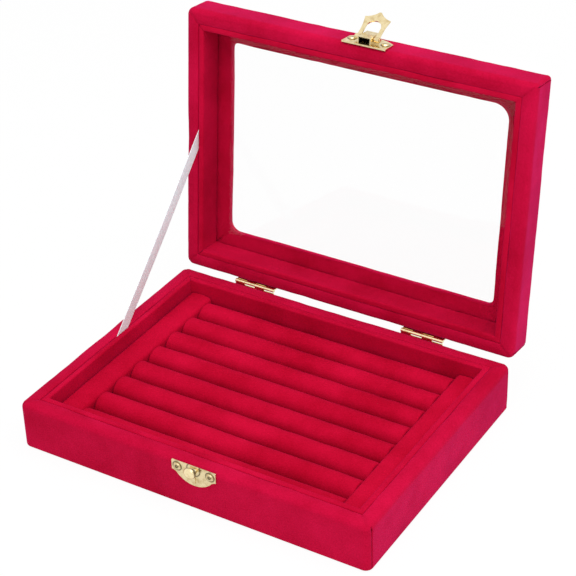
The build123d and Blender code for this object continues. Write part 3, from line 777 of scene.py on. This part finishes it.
# A wrapped strip along Y: a section with rounded upper edges and a low crown, drawn in at both ends
# on a quarter circle
def makeBar(side, seed):
    look = barLook
    low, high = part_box(f"side_bar_{side}")
    middle, half, soft = (high.x + low.x) / 2, (high.x - low.x) / 2, look["edgeRound"]
    shoulder = high.z - look["crown"]
    left = np.concatenate([
        run((-half, low.z), (-half, shoulder - soft), 9),
        arc((-half + soft, shoulder - soft), soft, 180, 100, 8),
    ])
    top = crownedRun((left[-1][0], left[-1][1]), (-left[-1][0], left[-1][1]), 14, look["crown"])[1:]
    right = left[::-1] * np.array([-1, 1])
    section = np.concatenate([left, top, right, run((half, low.z), (-half, low.z), 6)[1:]])
    quarter = np.linspace(0, pi / 2, 8)
    tuck = look["endRound"] * (1 - np.sin(quarter))
    endY = look["endRound"] * (1 - np.cos(quarter))
    between = np.linspace(low.y + endY[-1], high.y - endY[-1], look["lengthSteps"])[1:-1]
    y = np.concatenate([low.y + endY, between, high.y - endY[::-1]])
    shrink = np.concatenate([tuck, np.zeros(len(between)), tuck[::-1]])[:, None]
    sectionX = np.sign(section[:, 0]) * np.maximum(np.abs(section[:, 0])[None, :] - shrink, 0)
    lift = np.clip((section[:, 1] - low.z) / (high.z - low.z), 0, 1)[None, :]
    grid = np.stack(np.broadcast_arrays(middle + sectionX, y[:, None], section[:, 1] - shrink * lift), -1).copy()
    wave = np.minimum(softWave(grid, 22 * millimetre, seed), 0.4) * look["wave"] * lift
    grid[..., 2] += wave
    grid[..., 0] += 0.4 * wave
    bar = gridPiece(f"velvetBar_{side}", grid, rollVelvet, "base", caps=True)
    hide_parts(f"side_bar_{side}")


for number in range(1, sum(name.startswith("ring_roll_") for name in frame["nodes"]) + 1):
    makeRoll(number)
makeBar("left", 201)
makeBar("right", 202)
print("rolls and bars made")

ribbonLook = {
    "width": 6.6 * millimetre,
    "thickness": 0.3 * millimetre,
    "tail": 8.0 * millimetre,
    "baseAnchorY": 4.5 * millimetre,
    "lidAnchorY": -1.0 * millimetre,
    "bow": 0.35 * millimetre,
    "cup": 0.15 * millimetre,
    "lengthSteps": 160,
    "widthSteps": 9,
}


# A flat section carried along the line between both anchors, with a bow of sin squared along its
# length and a shallow cup across its width
def makeRibbon():
    look = ribbonLook
    low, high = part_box("stay_ribbon")
    middleX = (low.x + high.x) / 2
    baseAnchor = np.array([middleX, look["baseAnchorY"], rimTop])
    lidAnchor = swingOpen(np.array([middleX, look["lidAnchorY"], lidBottom]))
    length = np.linalg.norm(lidAnchor - baseAnchor)
    direction = (lidAnchor - baseAnchor) / length
    across = np.array([0, -direction[2], direction[1]])
    s = np.linspace(-look["tail"], length + look["tail"], look["lengthSteps"])
    slack = np.sin(pi * np.clip(s / length, 0, 1))
    w = np.linspace(-0.5, 0.5, look["widthSteps"])
    w = np.concatenate([w, w[::-1]])
    side = np.repeat([0.5, -0.5], look["widthSteps"])
    grid = baseAnchor + s[:, None, None] * direction + (w * look["width"])[None, :, None] * across
    cup = look["cup"] * (1 - (2 * w) ** 2)
    grid[..., 0] += look["bow"] * slack[:, None] ** 2 + cup * slack[:, None] + side * look["thickness"]
    ribbon = gridPiece("stayRibbon", grid, satinRibbon, None, caps=True)
    corners = np.empty(len(ribbon.data.loops), int)
    ribbon.data.loops.foreach_get("vertex_index", corners)
    lengthways = np.append(np.repeat(s, grid.shape[1]), [s[0], s[-1]])
    crossways = np.append(np.tile(w * look["width"], len(s)), [0, 0])
    uv = np.stack([lengthways, crossways], -1)[corners]
    ribbon.data.uv_layers.new(name="UVMap").data.foreach_set("uv", uv.astype(np.float32).ravel())
    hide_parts("stay_ribbon")
    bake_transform(ribbon)


makeRibbon()
print("ribbon made")


# Gives CAD pieces their material
def finish(material, *names):
    for name in names:
        data = frame["nodes"][name].data
        data.materials.clear()
        data.materials.append(material)


# The bridge's walls: points this far in from its outside are its hollow
bridgeWall = 0.4 * millimetre


def finishFittings():
    # the hinges are a lighter copy of the brass: painted light against the red the velvet casts on them
    plain, hinge = brassMaterial("paleBrass"), brassMaterial("hingeBrass", tone=1.2)
    for name in frame["nodes"]:
        if name.startswith("hinge_") or name.endswith("_hinge_screws"):
            finish(hinge, name)
        elif name.startswith(("catch_", "hasp_")):
            finish(plain, name)
    knobLow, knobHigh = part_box("catch_knob")
    knobFoot = np.array([(knobLow.x + knobHigh.x) / 2, knobHigh.y, (knobLow.z + knobHigh.z) / 2])
    # rings of painted shade round the screw heads and the knob's foot, and dots of painted shade in the screw
    # slots
    for part, extra in (("catch", [(knobFoot, brassLook["knobRing"])]), ("hasp", [])):
        places = headPlaces(f"{part}_screws", f"{part}_plate")
        rings = [(place, brassLook["screwRing"]) for place in places] + extra
        finish(brassMaterial(f"{part}Brass", rings), f"{part}_plate")
        dots = [(place, brassLook["screwDot"]) for place in places]
        finish(brassMaterial(f"{part}ScrewBrass", dots), f"{part}_screws")
    # a ring of painted shade at the knob's edge
    knobFront = knobFoot * (1, 0, 1) + np.array([0, knobLow.y, 0])
    knobRings = [(knobFront, brassLook["knobEdge"])]
    # the knob (1.18) and the loop (1.05) are lighter copies of the brass: painted highlight
    finish(brassMaterial("knobBrass", knobRings, tone=1.18), "catch_knob")
    finish(brassMaterial("loopBrass", tone=1.05), "hasp_loop")
    # the bridge's hollow is filled with painted shade
    bridgeLow, bridgeHigh = closedBox("hasp_bridge")
    bridgeLow[0] += bridgeWall
    bridgeHigh -= (bridgeWall, 0, bridgeWall)
    bridgeLow[1] += bridgeWall
    hollow = ((bridgeLow + bridgeHigh) / 2, (bridgeHigh - bridgeLow) / 2)
    finish(brassMaterial("bridgeBrass", hollow=hollow), "hasp_bridge")


finish(fibreboard, *[f"{part}_board_{side}" for part in ("base", "lid") for side in sides])
finish(greyCard, "base_floor_board")
finish(underFelt, "underside_sheet")
finish(clearGlass, "glass_pane")
finishFittings()
frame["nodes"]["glass_pane"].visible_shadow = False  # the lamps light the lip behind the pane
print("finishes given")

stageLook = {
    "floorSize": 6.0,
    "floorWhite": 0.9,
    "shadowShare": 0.05,
    "skyStrength": 0.60,
    "keyPower": 12.8,
    "keySize": 1.1,
    "keyPlace": (0.34, -0.1, 1.2),
    "fillPower": 2.0,
    "fillSize": 1.0,
    "fillPlace": (0.2, -1.2, 0.5),
    "aim": (0, 0.05, 0.06),
}


# 1 for camera, glossy and transmission rays, 0 for the light that falls on things, also through the pane
def seenDirectly(nodes, links):
    path = nodes.new("ShaderNodeLightPath")
    seen = mathNode(nodes, links, "MAXIMUM", path.outputs["Is Camera Ray"], path.outputs["Is Glossy Ray"])
    seen = mathNode(nodes, links, "MAXIMUM", seen, path.outputs["Is Transmission Ray"])
    unscattered = mathNode(nodes, links, "LESS_THAN", path.outputs["Diffuse Depth"], 0.5)
    return mathNode(nodes, links, "MULTIPLY", seen, unscattered)


def makeWorld():
    world = bpy.data.worlds.new("studioSky")
    bpy.context.scene.world = world
    world.use_nodes = True
    nodes, links = world.node_tree.nodes, world.node_tree.links
    background = nodes["Background"]
    background.inputs["Color"].default_value = (1, 1, 1, 1)
    strength = nodes.new("ShaderNodeMapRange")
    strength.inputs["To Min"].default_value = stageLook["skyStrength"]
    strength.inputs["To Max"].default_value = 1.0
    links.new(seenDirectly(nodes, links), strength.inputs["Value"])
    links.new(strength.outputs["Result"], background.inputs["Strength"])


# A square floor: plain diffuse white to the light, mostly glowing white to the eye
def makeFloor():
    half = stageLook["floorSize"] / 2
    mesh = bpy.data.meshes.new("studioFloor")
    mesh.from_pydata([(-half, -half, 0), (half, -half, 0), (half, half, 0), (-half, half, 0)], [], [(0, 1, 2, 3)])
    floor = bpy.data.objects.new("studioFloor", mesh)
    bpy.context.scene.collection.objects.link(floor)
    material = bpy.data.materials.new("studioWhite")
    material.use_nodes = True
    nodes, links = material.node_tree.nodes, material.node_tree.links
    nodes.clear()
    diffuse = nodes.new("ShaderNodeBsdfDiffuse")
    diffuse.inputs["Color"].default_value = (stageLook["floorWhite"],) * 3 + (1,)
    glow = nodes.new("ShaderNodeEmission")
    glow.inputs["Color"].default_value = (1, 1, 1, 1)
    blend = nodes.new("ShaderNodeMixShader")
    share = mathNode(nodes, links, "MULTIPLY", seenDirectly(nodes, links), 1 - stageLook["shadowShare"])
    links.new(share, blend.inputs["Fac"])
    links.new(diffuse.outputs["BSDF"], blend.inputs[1])
    links.new(glow.outputs["Emission"], blend.inputs[2])
    links.new(blend.outputs["Shader"], nodes.new("ShaderNodeOutputMaterial").inputs["Surface"])
    mesh.materials.append(material)


def areaLight(name, place, size, power):
    data = bpy.data.lights.new(name, "AREA")
    data.shape = "SQUARE"
    data.size = size
    data.energy = power
    light = bpy.data.objects.new(name, data)
    bpy.context.scene.collection.objects.link(light)
    light.location = place
    light.rotation_euler = (Vector(stageLook["aim"]) - Vector(place)).to_track_quat("-Z", "Y").to_euler()


cameraLook = {
    "azimuth": 32.23,
    "elevation": 32.19,
    "roll": -1.93,
    "target": (-0.0433, 0.0915, 0.02),
    "distance": 0.9973,
    "focalPixels": 1802.7,
    "imagePixels": 576,
    "sensorWidth": 36.0,
}


# Looks at the target from an azimuth and elevation, then turns about its own line of sight
def makeCamera():
    look = cameraLook
    azimuth, elevation, roll = (radians(look[k]) for k in ("azimuth", "elevation", "roll"))
    back = Vector((sin(azimuth) * cos(elevation), -cos(azimuth) * cos(elevation), sin(elevation)))
    level = (-back).cross(Vector((0, 0, 1))).normalized()
    upright = level.cross(-back)
    right = cos(roll) * level + sin(roll) * upright
    upward = cos(roll) * upright - sin(roll) * level
    data = bpy.data.cameras.new("productCamera")
    data.sensor_width = look["sensorWidth"]
    data.lens = look["focalPixels"] / look["imagePixels"] * look["sensorWidth"]
    camera = bpy.data.objects.new("productCamera", data)
    bpy.context.scene.collection.objects.link(camera)
    place = Vector(look["target"]) + back * look["distance"]
    camera.matrix_world = Matrix.Translation(place) @ Matrix((right, upward, back)).transposed().to_4x4()
    bpy.context.scene.camera = camera


makeWorld()
makeFloor()
areaLight("keyLight", stageLook["keyPlace"], stageLook["keySize"], stageLook["keyPower"])
areaLight("fillLight", stageLook["fillPlace"], stageLook["fillSize"], stageLook["fillPower"])
makeCamera()
bpy.context.scene.view_settings.view_transform = "Standard"
print("stage made")
